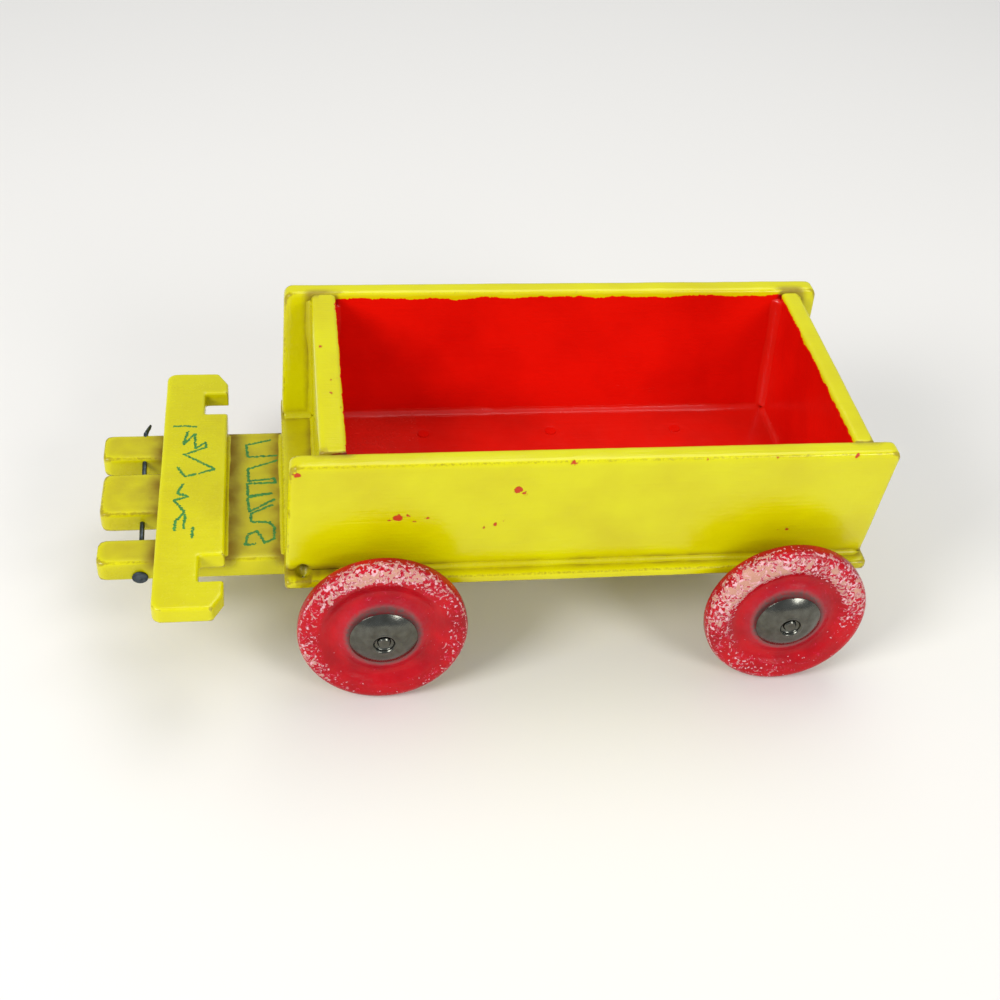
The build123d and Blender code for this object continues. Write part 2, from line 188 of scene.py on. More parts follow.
def gloss_enamel(name, colours, other=None):
    """Gloss enamel in one colour, or in two where the attribute red_mm is above zero."""
    material, tree, shader = new_material(name)
    place = in_millimetres(tree)
    patchy = add(tree, "ShaderNodeTexNoise", {"Vector": place, "Scale": 0.035, "Detail": 3.0})
    peel = add(tree, "ShaderNodeTexNoise", {"Vector": place, "Scale": 0.4, "Detail": 2.0})
    speck = add(tree, "ShaderNodeTexNoise",
                {"Vector": place, "Scale": 0.9, "Detail": 4.0, "Roughness": 0.6})
    drawn = add(tree, "ShaderNodeMapping", {"Vector": place, "Scale": (0.035, 0.85, 0.85)})
    brushed = add(tree, "ShaderNodeTexNoise",
                  {"Vector": drawn, "Scale": 1.0, "Detail": 3.0, "Roughness": 0.55})
    fields = ["edge", "dust_and_sheen", "rim", "red_mm"] + (["corner_mm", "chip_mm"] if other else [])
    edge, dust_and_sheen_share, rim, red, *near = (
        add(tree, "ShaderNodeAttribute", attribute_name=field).outputs["Fac"] for field in fields)
    # a single-colour piece stores no distances, so it counts as far from any corner or chip
    corner, chip = near or (FAR, -FAR)

    # where the second colour starts, with the brush's waver of about a millimetre
    waver = add(tree, "ShaderNodeTexNoise", {"Vector": place, "Scale": 0.11, "Detail": 3.0})
    line = add(tree, "ShaderNodeMath", {0: waver, 1: 3.2, 2: -2.2}, operation="MULTIPLY_ADD")
    line = add(tree, "ShaderNodeMath", {0: speck, 1: 1.2, 2: line}, operation="MULTIPLY_ADD")
    line = add(tree, "ShaderNodeMath", {0: red, 1: line}, operation="ADD")
    second = add(tree, "ShaderNodeMapRange",
                 {"Value": line, "From Min": -0.12, "From Max": 0.12},
                 interpolation_type="SMOOTHSTEP")

    tones = {tone: srgb(code) for tone, code in colours.items()}
    if other:
        tones = {tone: add(tree, "ShaderNodeMix", {0: second, 1: colour, 2: srgb(other[tone])},
                           data_type="RGBA") for tone, colour in tones.items()}

    cloud = add(tree, "ShaderNodeMapRange", {"Value": patchy, "From Min": 0.38, "From Max": 0.75})
    # paint rubs thin along the edges, and the pale tone there is partly a painted highlight
    rub_and_highlight = add(tree, "ShaderNodeMath", {0: speck, 1: 0.9, 2: edge}, operation="MULTIPLY_ADD")
    rub_and_highlight = add(tree, "ShaderNodeMapRange",
              {"Value": rub_and_highlight, "From Min": 0.85, "From Max": 1.35, "To Max": 0.45})
    # a thin dark brown line follows the sharpest edges
    crease = add(tree, "ShaderNodeMath", {0: speck, 1: 0.9, 2: rim}, operation="MULTIPLY_ADD")
    crease = add(tree, "ShaderNodeMapRange",
                 {"Value": crease, "From Min": 1.22, "From Max": 1.5, "To Max": 0.6})
    # dust lies on what faces up, thicker towards the corners, and on the inside beads this pale
    # tone is a painted highlight along the seams
    drift = add(tree, "ShaderNodeMapRange",
                {"Value": corner, "From Min": 8.0, "From Max": 0.0, "To Min": 0.55, "To Max": 1.1})
    settled = add(tree, "ShaderNodeMapRange",
                  {"Value": waver, "From Min": 0.3, "From Max": 0.7, "To Min": 0.55, "To Max": 1.0})
    worn_off = add(tree, "ShaderNodeMapRange",
                   {"Value": edge, "From Min": 0.05, "From Max": 0.5, "To Min": 1.0, "To Max": 0.0})
    for less in (dust_and_sheen_share, settled, worn_off):
        drift = add(tree, "ShaderNodeMath", {0: drift, 1: less}, operation="MULTIPLY")
    # grime collects in the corners in broken lines, and this darkening where parts meet is partly
    # painted shade
    dirt_and_shade = add(tree, "ShaderNodeMapRange",
               {"Value": corner, "From Min": 4.5, "From Max": 0.4}, interpolation_type="SMOOTHSTEP")
    broken = add(tree, "ShaderNodeMapRange",
                 {"Value": waver, "From Min": 0.36, "From Max": 0.62, "To Min": 0.3, "To Max": 0.8})
    dirt_and_shade = add(tree, "ShaderNodeMath", {0: dirt_and_shade, 1: broken}, operation="MULTIPLY")
    # small nicks on the edges down to the wood, and chips down to the undercoat
    nick = add(tree, "ShaderNodeMath", {0: speck, 1: 1.0, 2: edge}, operation="MULTIPLY_ADD")
    nick = add(tree, "ShaderNodeMapRange", {"Value": nick, "From Min": 1.5, "From Max": 1.55})
    ragged = add(tree, "ShaderNodeMath", {0: speck, 1: 3.0, 2: -1.5}, operation="MULTIPLY_ADD")
    flake = add(tree, "ShaderNodeMath", {0: chip, 1: ragged}, operation="ADD")
    flake = add(tree, "ShaderNodeMapRange", {"Value": flake, "From Min": 0.1, "From Max": 0.3})

    coat = tones["fresh"]
    for mask, tone in (
            (cloud, tones["thin"]), (rub_and_highlight, tones["rubbed_and_highlight"]), (crease, tones["grime_and_shade"]),
            (drift, tones["dust_and_sheen"]), (dirt_and_shade, tones["grime_and_shade"]), (nick, srgb(BARE_WOOD)),
            (flake, srgb(UNDERCOAT))):
        coat = add(tree, "ShaderNodeMix", {0: mask, 1: coat, 2: tone}, data_type="RGBA")
    rough = add(tree, "ShaderNodeMath", {0: peel, 1: 0.16, 2: 0.10}, operation="MULTIPLY_ADD")
    for mask, more in ((drift, 0.5), (dirt_and_shade, 0.35), (flake, 0.3), (rub_and_highlight, 0.2)):
        rough = add(tree, "ShaderNodeMath", {0: mask, 1: more, 2: rough}, operation="MULTIPLY_ADD")
    height = add(tree, "ShaderNodeMath", {0: brushed, 1: 0.10, 2: 0.0}, operation="MULTIPLY_ADD")
    for mask, rise_mm in ((peel, 0.09), (flake, -0.15), (nick, -0.2), (speck, 0.02)):
        height = add(tree, "ShaderNodeMath", {0: mask, 1: rise_mm, 2: height},
                     operation="MULTIPLY_ADD")
    dress(tree, shader, coat, rough, height)
    shader.inputs["Specular IOR Level"].default_value = 0.35
    return material


board_enamel = gloss_enamel("yellow_and_red_gloss_enamel", YELLOW, RED)
print(board_enamel.name, "with", len(board_enamel.node_tree.nodes), "nodes")

# %% [markdown]
# ## Nails, axles and other bare steel
# The nails and axles are mild steel wire.  It has dulled to a blue-grey with
# brown specks of rust.  The CAD shapes are right as they are, so they only take
# this finish.  It is a metal, so its colour is its reflection.

# %% Dulled steel
def dulled_steel(name, bright, dark, rust, roughness, pitting=0.8):
    """Steel with patches of tarnish, specks of rust and fine pits."""
    material, tree, shader = new_material(name)
    shader.inputs["Metallic"].default_value = 1.0
    place = in_millimetres(tree)
    tarnish = add(tree, "ShaderNodeTexNoise", {"Vector": place, "Scale": 0.35, "Detail": 5.0})
    pits = add(tree, "ShaderNodeTexNoise",
               {"Vector": place, "Scale": 1.6, "Detail": 4.0, "Roughness": 0.65})
    shade = add(tree, "ShaderNodeMapRange", {"Value": tarnish, "From Min": 0.35, "From Max": 0.7})
    coat = add(tree, "ShaderNodeMix", {0: shade, 1: srgb(bright), 2: srgb(dark)}, data_type="RGBA")
    rusty = add(tree, "ShaderNodeMapRange",
                {"Value": pits, "From Min": 0.64, "From Max": 0.76, "To Max": 0.7})
    coat = add(tree, "ShaderNodeMix", {0: rusty, 1: coat, 2: srgb(rust)}, data_type="RGBA")
    rough = add(tree, "ShaderNodeMath",
                {0: tarnish, 1: 0.3 * pitting, 2: roughness - 0.15 * pitting},
                operation="MULTIPLY_ADD")
    rough = add(tree, "ShaderNodeMath", {0: rusty, 1: 0.4, 2: rough}, operation="MULTIPLY_ADD")
    dress(tree, shader, coat, rough, pits, 0.15 * MM, pitting)
    return material


wire_steel = dulled_steel("dulled_wire_steel", "#5A646C", "#2E3438", "#5A3A22", 0.42)
cap_steel = dulled_steel("dulled_pressed_steel", "#66665F", "#54534C", "#3A3028", 0.2, 0.2)


def finish_cad_node(name, material):
    """Gives every material slot of a CAD node this finish."""
    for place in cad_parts[name].material_slots:
        place.material = material


for name in node_box:
    if name.endswith("_nails"):
        finish_cad_node(name, wire_steel)
    if name.endswith("_axle"):
        finish_cad_node(name, cap_steel)
painted_over = gloss_enamel("red_gloss_enamel", RED)
finish_cad_node("floor_board_nails", painted_over)
print("wire steel:", [name for name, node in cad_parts.items()
                      if node.material_slots[0].material == wire_steel])

# %% [markdown]
# ## The boards
# Each board was sawn, planed by hand, its edges broken with sandpaper, and then
# painted, so no edge is sharp and no face is quite flat.  A bevel would give
# even edges.  A voxel remesh of the CAD shape gives small even faces everywhere,
# which can then be smoothed and waved like worked wood, and which are fine
# enough to hold the distances that the paint reads.

# %% Work a board from its CAD shape
def mesh_points(mesh):
    points = np.empty(3 * len(mesh.vertices))
    mesh.vertices.foreach_get("co", points)
    return points.reshape(-1, 3) / MM


def point_normals(mesh):
    normals = np.empty(3 * len(mesh.vertices))
    mesh.vertex_normals.foreach_get("vector", normals)
    return normals.reshape(-1, 3)


def near_mean(mesh, values):
    """The mean of each point's neighbours."""
    ends = np.empty(2 * len(mesh.edges), dtype=np.int64)
    mesh.edges.foreach_get("vertices", ends)
    a, b = ends.reshape(-1, 2).T
    count = np.bincount(a, minlength=len(values)) + np.bincount(b, minlength=len(values))
    columns = values.reshape(len(values), -1)
    total = np.stack([
        np.bincount(a, column[b], len(values)) + np.bincount(b, column[a], len(values))
        for column in columns.T], axis=1)
    return (total / np.maximum(count, 1)[:, None]).reshape(values.shape)


def waves(points, length, seed):
    """A smooth waviness from -1 to 1 with about this wavelength in millimetres."""
    rng = np.random.default_rng(seed)
    total = np.zeros(len(points))
    for _ in range(7):
        way = rng.normal(size=3)
        way *= 2 * math.pi / length / np.linalg.norm(way) * rng.uniform(0.6, 1.5)
        total += np.sin(points @ way + rng.uniform(0, 2 * math.pi))
    return np.clip(total / 4.0, -1, 1)


def store(mesh, name, values):
    field = mesh.attributes.get(name) or mesh.attributes.new(name, "FLOAT", "POINT")
    field.data.foreach_set("value", np.ascontiguousarray(values, dtype=np.float32))


def worked_board(node, voxel, seed, wave=0.10, smoothing=2):
    """The node's shape with soft edges and hand-planed faces, inside the CAD shape."""
    shape = bmesh.new()
    shape.from_mesh(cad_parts[node].data)
    bmesh.ops.remove_doubles(shape, verts=shape.verts, dist=1e-6)
    mesh = bpy.data.meshes.new(node + "_shape")
    shape.to_mesh(mesh)
    shape.free()
    blank = bpy.data.objects.new(node + "_blank", mesh)
    bpy.context.collection.objects.link(blank)
    remesh = blank.modifiers.new("voxels", "REMESH")
    remesh.mode, remesh.voxel_size = "VOXEL", voxel * MM
    view = bpy.context.evaluated_depsgraph_get()
    fine = bpy.data.meshes.new_from_object(blank.evaluated_get(view))
    fine.name = node + "_worked"
    bpy.data.objects.remove(blank)
    bpy.data.meshes.remove(mesh)

    points = mesh_points(fine)
    for _ in range(smoothing):
        points += 0.6 * (near_mean(fine, points) - points)
    fine.vertices.foreach_set("co", (points * MM).ravel())
    fine.update()
    normals = point_normals(fine)
    bend = -np.einsum("ij,ij->i", near_mean(fine, points) - points, normals) / voxel ** 2
    sharp = near_mean(fine, bend)
    for _ in range(4):
        bend = near_mean(fine, bend)
    depth = wave * (1.0 + 0.7 * waves(points, 38, seed) + 0.3 * waves(points, 9, seed + 1))
    points -= normals * depth[:, None]
    low, high = node_box[node]
    inset = 0.02
    points = np.clip(points, low + inset, high - inset)
    fine.vertices.foreach_set("co", (points * MM).ravel())
    fine.update()
    fine.shade_smooth()
    store(fine, "edge", np.clip(bend * 5.0, 0, 1))
    store(fine, "rim", np.clip(sharp / np.percentile(sharp, 99), 0, 1.1))
    return fine


def nearby_surface(mesh, nodes, reach=FAR):
    """How far each point is, in millimetres, from the surfaces of these nodes."""
    corners, faces = [], []
    for node in nodes:
        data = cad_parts[node].data
        first = len(corners)
        corners += [v.co[:] for v in data.vertices]
        faces += [[first + i for i in face.vertices] for face in data.polygons]
    search = BVHTree.FromPolygons(corners, faces)
    found = np.full(len(mesh.vertices), reach)
    for i, vertex in enumerate(mesh.vertices):
        hit = search.find_nearest(vertex.co, reach * MM)
        if hit[3] is not None:
            found[i] = hit[3] / MM
    return found


def as_piece(name, mesh, material, body, nodes=()):
    """Makes the mesh a piece that rides on a body and stands for these nodes."""
    piece = bpy.data.objects.new(name, mesh)
    bpy.context.collection.objects.link(piece)
    mesh.materials.clear()
    mesh.materials.append(material)
    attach(piece, body)
    if nodes:
        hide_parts(*nodes)
    print(name, "has", len(mesh.polygons), "faces")
    return piece


WOOD = ("chassis_plank", "floor_board", "left_side_board", "right_side_board", "headboard",
        "tailboard", "crossbar", "front_axle_block", "rear_axle_block")
head_low, head_high = node_box["headboard"]
tail_low, tail_high = node_box["tailboard"]
side_low, side_high = node_box["left_side_board"]
floor_low = node_box["floor_board"][0]
bar_low, bar_high = node_box["crossbar"]
floor_top = side_low[2]
lean_out = math.radians(7.9)  # of the side boards
flare = math.tan(lean_out)
wall_foot = 43.42             # inner foot of the side boards from the middle
red_stops = 2.6               # under the top of the side boards
nail_hole = (-69.1, 3.3, 48.5)  # in the side boards' foot: its x, the reach of its painted shade, and least y

# %% [markdown]
# ## Where the red starts
# The load space is red inside, and everything else is yellow.  The line was cut
# in by hand just under the top edges, so it wavers, and it is stored as a
# distance: above zero is red.

# %% Distances that the paint reads
def red_distance(node, points):
    """How far into the red each point is, in millimetres."""
    x, y, z = points.T
    inside = np.minimum(x - head_high[0] + 1.5, tail_low[0] + 1.5 - x)
    if node in ("left_side_board", "right_side_board"):
        inner = wall_foot + 4.0 + (z - floor_top) * flare - np.abs(y)
        return np.minimum.reduce([inside, inner, side_high[2] - red_stops - z])
    if node == "floor_board":
        return np.minimum.reduce([inside, wall_foot + 2.0 - np.abs(y), z - floor_low[2] - 2.0])
    if node == "headboard":
        return np.minimum(x - (head_low[0] + head_high[0]) / 2, head_high[2] - 1.0 - z)
    if node == "tailboard":
        return np.minimum((tail_low[0] + tail_high[0]) / 2 - x, tail_high[2] - 1.2 - z)
    return np.full(len(points), -FAR)


CHIPS = {  # x, y, z and radius in millimetres
    "left_side_board": [
        (-70.5, -58.6, 99.9, 1.3), (-35.0, -55.4, 76.6, 1.9), (-31.5, -55.5, 77.6, 0.9),
        (-38.2, -55.2, 75.2, 0.8), (-29.0, -55.0, 74.4, 0.6), (-24.5, -55.2, 76.0, 0.8),
        (7.2, -57.2, 89.7, 1.8), (9.8, -57.0, 87.6, 1.1), (0.5, -54.6, 71.5, 1.0),
        (-3.5, -54.4, 69.8, 0.7),
        (3.8, -54.9, 73.0, 0.6), (112.8, -53.6, 63.7, 1.0), (108.9, -53.5, 63.2, 0.6),
        (26.0, -59.0, 102.8, 1.2), (74.0, -59.0, 102.9, 1.0), (100.0, -58.9, 103.0, 0.9),
        (130.0, -58.6, 102.6, 1.1), (-20.0, -56.6, 84.0, 0.5), (48.0, -55.0, 72.0, 0.5)],
    "headboard": [
        (-62.6, -12.0, 88.0, 1.0), (-57.0, -7.7, 103.5, 0.7), (-54.7, -6.5, 103.5, 0.6),
        (-57.3, -15.8, 103.5, 0.8), (-55.2, -18.3, 103.5, 0.6), (-54.0, -24.5, 103.5, 0.7),
        (-60.0, 14.0, 103.4, 0.8), (-62.4, -30.0, 96.0, 0.9)],
}


def chip_distance(node, points):
    """How deep inside the nearest chip each point is, in millimetres."""
    depth = np.full(len(points), -FAR)
    for *centre, radius in CHIPS.get(node, []):
        depth = np.maximum(depth, radius - np.linalg.norm(points - centre, axis=1))
    return depth


def dustiness(node, points):
    """How much dust and handling a face that looks up has had."""
    share = {"chassis_plank": 0.75, "crossbar": 0.35, "headboard": 0.15, "tailboard": 0.1}
    if node != "floor_board":
        return share.get(node, 0.08)
    x, y = points[:, 0], np.abs(points[:, 1])
    load_space = 0.16 + 0.16 * (x < -20)
    return np.where(x < head_low[0], 0.55, np.where(y > wall_foot + 5, 0.1, load_space))


def smooth_step(value, low, high):
    t = np.clip((value - low) / (high - low), 0, 1)
    return t * t * (3 - 2 * t)


def paint_fields(node, mesh):
    points, normals = mesh_points(mesh), point_normals(mesh)
    red = red_distance(node, points)
    store(mesh, "red_mm", red)
    store(mesh, "chip_mm", chip_distance(node, points))
    corner = nearby_surface(mesh, [n for n in WOOD if n != node])
    # the red gets less corner dirt and painted shade, and the plank gets the most
    corner *= np.where(red > -2.0, 2.6, 0.7 if node == "chassis_plank" else 1.0)
    # inside the nail hole the corner distance is made small, so the hole is painted dark as shade
    hole = np.hypot(points[:, 0] - nail_hole[0], points[:, 2] - floor_top)
    in_hole = (hole < nail_hole[1]) & (np.abs(points[:, 1]) > nail_hole[2])
    store(mesh, "corner_mm", np.where(in_hole, np.minimum(corner, 0.3 * hole), corner))
    dust_and_sheen = np.clip((normals[:, 2] - 0.75) * 5, 0, 1) * dustiness(node, points)
    if node == "chassis_plank":  # hands have browned the sides of the three fingers
        dust_and_sheen += 0.4 * (np.abs(normals[:, 2]) < 0.5) * smooth_step(-points[:, 0], 104, 116)
    store(mesh, "dust_and_sheen", dust_and_sheen)


BOARDS = {  # voxel in millimetres, seed, slot
    "chassis_plank": (0.95, 11, "yellow_enamel"), "floor_board": (1.0, 12, "red_enamel"),
    "left_side_board": (0.8, 13, "yellow_enamel"), "right_side_board": (0.8, 14, "yellow_enamel"),
    "headboard": (0.7, 15, "yellow_enamel"), "tailboard": (0.7, 16, "yellow_enamel"),
    "crossbar": (0.6, 17, "yellow_enamel"), "front_axle_block": (0.8, 18, "yellow_enamel"),
    "rear_axle_block": (0.8, 19, "yellow_enamel"),
}
for node, (voxel, seed, slot) in BOARDS.items():
    mesh = worked_board(node, voxel, seed)
    paint_fields(node, mesh)
    as_piece(node + "_painted", mesh, board_enamel, "root", (node,))

# %% [markdown]
# ## The wheels
# A wheel is turned on a lathe from one disc of wood, so its shape is one half
# section spun round the axle: a rule that suits Geometry Nodes.  The tree bends
# a grid round the axle, reads the section's radius and depth along it, adds the
# slight waver of wood that has dried, and merges the seam.

# %% A lathe in Geometry Nodes
def new_tree(name, inputs):
    """A Geometry Nodes tree: the tree, its inputs' identifiers, and the sockets they arrive on."""
    tree = bpy.data.node_groups.new(name, "GeometryNodeTree")
    identifiers = {}
    for label, (kind, value) in inputs.items():
        socket = tree.interface.new_socket(
            label, in_out="INPUT", socket_type="NodeSocket" + kind)
        if value is not None:
            socket.default_value = value
        identifiers[label] = socket.identifier
    tree.interface.new_socket("Geometry", in_out="OUTPUT", socket_type="NodeSocketGeometry")
    return tree, identifiers, add(tree, "NodeGroupInput").outputs


def end_tree(tree, shape, finish):
    """Turns instances into real faces, gives them their material, and prints the tree's size."""
    plain = add(tree, "GeometryNodeRealizeInstances", {"Geometry": shape})
    done = add(tree, "GeometryNodeSetMaterial", {"Geometry": plain, "Material": finish})
    add(tree, "NodeGroupOutput", {0: done})
    print(tree.name, "tree:", len(tree.nodes), "nodes")


lathe, LATHE_INPUTS, given = new_tree("lathe", {
    "Section": ("Geometry", None), "Segments": ("Int", 180), "Steps": ("Int", 160),
    "Waver": ("Float", 0.004), "Seed": ("Float", 1.0), "Finish": ("Material", None)})
section = add(lathe, "GeometryNodeMeshToCurve", {"Mesh": given["Section"]})
across_count = add(lathe, "ShaderNodeMath", {0: given["Segments"], 1: 1.0}, operation="ADD")
grid = add(lathe, "GeometryNodeMeshGrid",
           {"Size X": 1.0, "Size Y": 1.0,
            "Vertices X": across_count, "Vertices Y": given["Steps"]})
spot = add(lathe, "ShaderNodeSeparateXYZ", {0: add(lathe, "GeometryNodeInputPosition")})
along = add(lathe, "ShaderNodeMath", {0: spot.outputs["Y"], 1: 0.5}, operation="ADD")
sample = add(lathe, "GeometryNodeSampleCurve", mode="FACTOR", use_all_curves=True)
lathe.links.new(section.outputs[0], sample.inputs["Curves"])
lathe.links.new(along.outputs[0], sample.inputs["Factor"])
cut = add(lathe, "ShaderNodeSeparateXYZ", {0: sample.outputs["Position"]})
angle = add(lathe, "ShaderNodeMath", {0: spot.outputs["X"], 1: 2 * math.pi}, operation="MULTIPLY")
cosine = add(lathe, "ShaderNodeMath", {0: angle}, operation="COSINE")
sine = add(lathe, "ShaderNodeMath", {0: angle}, operation="SINE")
# the waver shrinks the radius by up to its share, and never grows it
round_place = add(lathe, "ShaderNodeCombineXYZ", {0: cosine, 1: cut.outputs["Y"], 2: sine})
drift = add(lathe, "ShaderNodeTexNoise",
            {"Vector": round_place, "W": given["Seed"], "Scale": 1.3}, noise_dimensions="4D")
less = add(lathe, "ShaderNodeMath", {0: drift, 1: given["Waver"]}, operation="MULTIPLY")
share = add(lathe, "ShaderNodeMath", {0: 1.0, 1: less}, operation="SUBTRACT")
radius = add(lathe, "ShaderNodeMath", {0: cut.outputs["X"], 1: share}, operation="MULTIPLY")
spun = add(lathe, "ShaderNodeCombineXYZ", {
    0: add(lathe, "ShaderNodeMath", {0: radius, 1: cosine}, operation="MULTIPLY"),
    1: cut.outputs["Y"],
    2: add(lathe, "ShaderNodeMath", {0: radius, 1: sine}, operation="MULTIPLY")})
bent = add(lathe, "GeometryNodeSetPosition", {"Geometry": grid, "Position": spun})
closed = add(lathe, "GeometryNodeMergeByDistance", {"Geometry": bent, "Distance": 1e-6})
end_tree(lathe, closed, given["Finish"])


def run_tree(tree, identifiers, mesh, values, name):
    """Runs a Geometry Nodes tree on a mesh and gives the result as a plain mesh."""
    worker = bpy.data.objects.new(name + "_worker", mesh)
    bpy.context.collection.objects.link(worker)
    modifier = worker.modifiers.new("tree", "NODES")
    modifier.node_group = tree
    for key, value in values.items():
        modifier[identifiers[key]] = value
    view = bpy.context.evaluated_depsgraph_get()
    result = bpy.data.meshes.new_from_object(worker.evaluated_get(view))
    result.name = name
    bpy.data.objects.remove(worker)
    return result


def section_mesh(name, points):
    """A closed polyline in millimetres: radius, then place along the axle."""
    mesh = bpy.data.meshes.new(name)
    mesh.from_pydata([(r * MM, y * MM, 0) for r, y in points + points[:1]],
                     [(i, i + 1) for i in range(len(points))], [])
    return mesh


def outward(mesh):
    """Turns the faces outwards and reports edges left open."""
    shape = bmesh.new()
    shape.from_mesh(mesh)
    bmesh.ops.recalc_face_normals(shape, faces=shape.faces)
    if shape.calc_volume(signed=True) < 0:
        bmesh.ops.reverse_faces(shape, faces=shape.faces)
    shape.to_mesh(mesh)
    open_edges = sum(edge.is_boundary for edge in shape.edges)
    shape.free()
    mesh.shade_smooth()
    return open_edges


def turned(name, points, centre, side, steps, segments, waver, seed, material):
    """A turned shape on an axle along Y.  side is -1 for the left and 1 for the right."""
    mesh = run_tree(lathe, LATHE_INPUTS, section_mesh(name + "_section", points),
                    {"Segments": segments, "Steps": steps, "Waver": waver, "Seed": float(seed),
                     "Finish": material}, name)
    mesh.transform(Matrix.Translation((centre[0] * MM, 0, centre[1] * MM))
                   @ Matrix.Diagonal((1, side, 1, 1)))
    print(name, "open edges:", outward(mesh))
    return mesh


# %% [markdown]
# ## The wheels' worn enamel
# The wheels are red enamel over a pale primer.  The face and the rim rub on
# floors and hands, so the red has gone in blots and specks, mostly on a ring
# near the rim, and pink stays where the red is only thin.  Each point stores how
# worn it is, and noise at 1 to 3 mm breaks that into flakes.

# %% Worn red enamel
def worn_enamel(name):
    material, tree, shader = new_material(name)
    place = in_millimetres(tree)
    blots = add(tree, "ShaderNodeTexNoise",
                {"Vector": place, "Scale": 0.36, "Detail": 6.0, "Roughness": 0.68,
                 "Distortion": 1.2})
    fine = add(tree, "ShaderNodeTexNoise", {"Vector": place, "Scale": 0.8, "Detail": 3.0})
    patchy = add(tree, "ShaderNodeTexNoise", {"Vector": place, "Scale": 0.09, "Detail": 2.0})
    worn, corner = (add(tree, "ShaderNodeAttribute", attribute_name=field).outputs["Fac"]
                    for field in ("worn", "corner_mm"))
    loss = add(tree, "ShaderNodeMath", {0: worn, 1: 0.42, 2: blots}, operation="MULTIPLY_ADD")
    flaked = add(tree, "ShaderNodeMapRange",
                 {"Value": loss, "From Min": 0.70, "From Max": 0.73},
                 interpolation_type="SMOOTHSTEP")
    dots = add(tree, "ShaderNodeMath", {0: worn, 1: 0.45, 2: fine}, operation="MULTIPLY_ADD")
    dots = add(tree, "ShaderNodeMapRange", {"Value": dots, "From Min": 0.735, "From Max": 0.765})
    flaked = add(tree, "ShaderNodeMath", {0: flaked, 1: dots}, operation="MAXIMUM")
    thin = add(tree, "ShaderNodeMapRange",
               {"Value": loss, "From Min": 0.63, "From Max": 0.71, "To Max": 0.75})
    cloud = add(tree, "ShaderNodeMapRange", {"Value": patchy, "From Min": 0.35, "From Max": 0.65})
    # pale primer shows at a flake's margin, and beige wood in its middle
    bare = add(tree, "ShaderNodeMath", {0: fine, 1: 0.12, 2: loss}, operation="MULTIPLY_ADD")
    bare = add(tree, "ShaderNodeMapRange", {"Value": bare, "From Min": 0.76, "From Max": 0.82})
    primer = add(tree, "ShaderNodeMix",
                 {0: bare, 1: srgb("#EAB4BC"), 2: srgb("#C8937E")}, data_type="RGBA")
    # the dish holds dust and is painted darker towards the cap as shade, and its seat has rubbed
    # grey round the steel cap, partly as painted shade under the cap's rim
    dish_dust_and_shade = add(tree, "ShaderNodeMapRange",
               {"Value": corner, "From Min": 7.5, "From Max": 1.0, "To Max": 0.75})
    dish_dust_and_shade = add(tree, "ShaderNodeMath", {0: dish_dust_and_shade, 1: fine}, operation="MULTIPLY")
    dirt_and_shade = add(tree, "ShaderNodeMapRange",
               {"Value": corner, "From Min": 2.6, "From Max": 0.6, "To Max": 1.5})
    dirt_and_shade = add(tree, "ShaderNodeMath", {0: dirt_and_shade, 1: fine}, operation="MULTIPLY")
    coat = srgb("#BC020E")
    for mask, tone in ((cloud, srgb("#9E000B")), (thin, srgb("#DC2A52")), (flaked, primer),
                       (dish_dust_and_shade, srgb("#963A4A")), (dirt_and_shade, srgb("#6A5450"))):
        coat = add(tree, "ShaderNodeMix", {0: mask, 1: coat, 2: tone}, data_type="RGBA")
    rough = add(tree, "ShaderNodeMath", {0: flaked, 1: 0.42, 2: 0.22}, operation="MULTIPLY_ADD")
    height = add(tree, "ShaderNodeMath", {0: flaked, 1: -0.16, 2: 0.0}, operation="MULTIPLY_ADD")
    height = add(tree, "ShaderNodeMath", {0: fine, 1: 0.06, 2: height}, operation="MULTIPLY_ADD")
    height = add(tree, "ShaderNodeMath", {0: blots, 1: 0.10, 2: height}, operation="MULTIPLY_ADD")
    dress(tree, shader, coat, rough, height)
    shader.inputs["Specular IOR Level"].default_value = 0.2
    return material


wheel_enamel = worn_enamel("worn_red_enamel")

# %% Turn the wheels
RIM = 31.75                  # a little under the CAD wheel, to leave room for its lean
THICK = 8.0                  # of a wheel at its rim
BORE = 2.6                   # radius of the axle's hole


def arc(centre, radius, start, end, count):
    """Points on an arc, in degrees from the first axis."""
    turns = [math.radians(a) for a in np.linspace(start, end, count)]
    return [(centre[0] + radius * math.cos(a), centre[1] + radius * math.sin(a)) for a in turns]


def wheel_section(face, boss):
    """Half section of a wheel, from its boss over the rim to the seat of its cap."""
    inner, ring_in, seat_r = face - THICK, 24.4, 13.9
    points = [(BORE, boss), (8.8, boss), (9.4, boss + 0.3), (10.7, inner - 0.6), (11.8, inner)]
    points += arc((RIM - 2.4, inner + 2.4), 2.4, -90, 0, 7)
    points += arc((RIM - 3.6, face - 3.6), 3.6, 0, 90, 11)
    points += [(27.0, face - 0.02), (25.6, face)]
    for r in np.linspace(ring_in, seat_r, 14):
        t = (ring_in - r) / (ring_in - seat_r)
        points.append((r, face - 2.1 * math.sin(math.pi * t) ** 1.5 - 0.4 * t))
    points += [(12.9, face - 0.42), (BORE, face - 0.42)]
    return points


